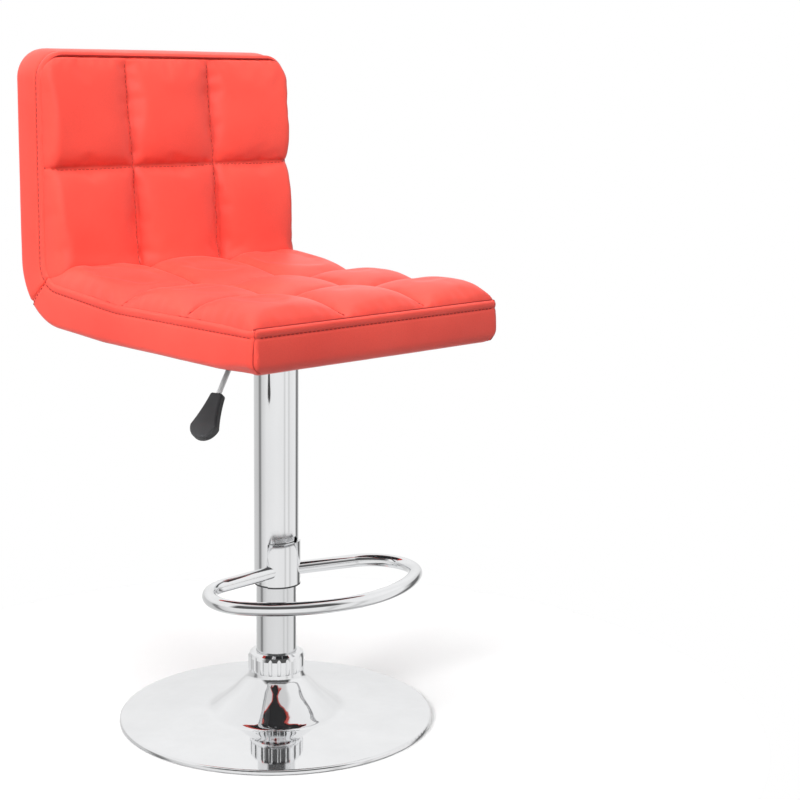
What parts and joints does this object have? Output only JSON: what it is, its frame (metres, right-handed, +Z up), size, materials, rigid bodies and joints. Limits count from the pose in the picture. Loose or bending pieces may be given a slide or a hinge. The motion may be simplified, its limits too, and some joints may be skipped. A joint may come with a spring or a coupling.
{
  "type": "adjustable swivel stool",
  "caption": "Padded swivel stool with a low quilted back, a gas-lift column with a height lever, a D-shaped footrest and a trumpet-shaped disc base.",
  "frame": {"origin": "on the floor, at the middle of the base, on the axis of the column", "axes": "+Z up along the column axis; the sitter faces -Y and the back rest is at +Y; +X is the sitter's left"},
  "size_m": [0.385, 0.4405, 0.806],
  "materials": {
    "polished_chrome": "mirror polished chrome plate",
    "bare_steel": "zinc plated steel",
    "black_steel": "black powder coat",
    "grey_iron": "rough cast iron",
    "soft_rubber": "matt black rubber",
    "black_plastic": "matt black moulded plastic",
    "plywood": "bare bent plywood",
    "coral_upholstery": "coral red faux leather, fine grain, sewn channels",
    "dust_cover_cloth": "black non-woven cloth"
  },
  "bodies": {
    "base": {"base_disc": "polished_chrome", "base_floor_ring": "soft_rubber", "base_ballast": "grey_iron", "base_socket": "bare_steel", "trim_collar": "polished_chrome", "stand_tube": "polished_chrome", "stand_bottom_plate": "bare_steel", "guide_bushing": "black_plastic", "bearing_washer_lower": "bare_steel"},
    "bearing": {"bearing_cage": "black_plastic", "bearing_balls": "bare_steel"},
    "rod": {"piston_rod": "bare_steel", "piston_head": "bare_steel", "bearing_washer_upper": "bare_steel", "rubber_buffer": "soft_rubber", "rod_washer": "bare_steel", "rod_clip": "bare_steel"},
    "seat": {"back_border_left": "coral_upholstery", "back_border_right": "coral_upholstery", "back_cushion": "coral_upholstery", "bolt_washers": "bare_steel", "cover_bushing": "black_plastic", "cover_cap": "black_plastic", "cover_tube": "polished_chrome", "footrest_bracket": "polished_chrome", "footrest_ring": "polished_chrome", "front_border": "coral_upholstery", "inner_cylinder": "bare_steel", "lever_pivot_pin": "bare_steel", "pivot_clip": "bare_steel", "plate_channel": "black_steel", "plate_socket": "black_steel", "pressure_tube": "black_steel", "rear_cover": "coral_upholstery", "rod_guide": "bare_steel", "rod_seal": "soft_rubber", "seat_bolts": "bare_steel", "seat_border_left": "coral_upholstery", "seat_border_right": "coral_upholstery", "seat_cushion": "coral_upholstery", "seat_plate": "black_steel", "seat_shell": "plywood", "tee_nuts": "bare_steel", "top_border": "coral_upholstery", "under_cover": "dust_cover_cloth", "valve_plug": "bare_steel"},
    "lever": {"lever_rod": "polished_chrome", "lever_hub": "black_plastic", "lever_handle": "black_plastic"},
    "pin": {"release_pin": "bare_steel"}
  },
  "joints": [
    {"name": "swivel", "type": "hinge", "parent": "base", "child": "rod", "pos_m": [0, 0, 0.022], "axis": [0, 0, 1], "continuous": true},
    {"name": "bearing_turn", "type": "hinge", "parent": "base", "child": "bearing", "pos_m": [0, 0, 0.022], "axis": [0, 0, 1], "continuous": true},
    {"name": "lift", "type": "slide", "parent": "rod", "child": "seat", "axis": [0, 0, 1], "range_m": [0, 0.2]},
    {"name": "height_lever", "type": "hinge", "parent": "seat", "child": "lever", "pos_m": [-0.02511, -0.00673, 0.4625], "axis": [-0.2588, 0.9659, 0], "range_deg": [0, 7], "stiffness_Nm_per_rad": 2, "springref_deg": -5.73},
    {"name": "release_travel", "type": "slide", "parent": "seat", "child": "pin", "axis": [0, 0, 1], "range_m": [-0.0034, 0]}
  ],
  "couplings": [
    {"joint": "bearing_turn", "follows": "swivel", "ratio": 0.5},
    {"joint": "release_travel", "follows": "height_lever", "m_per_rad": -0.026}
  ]
}
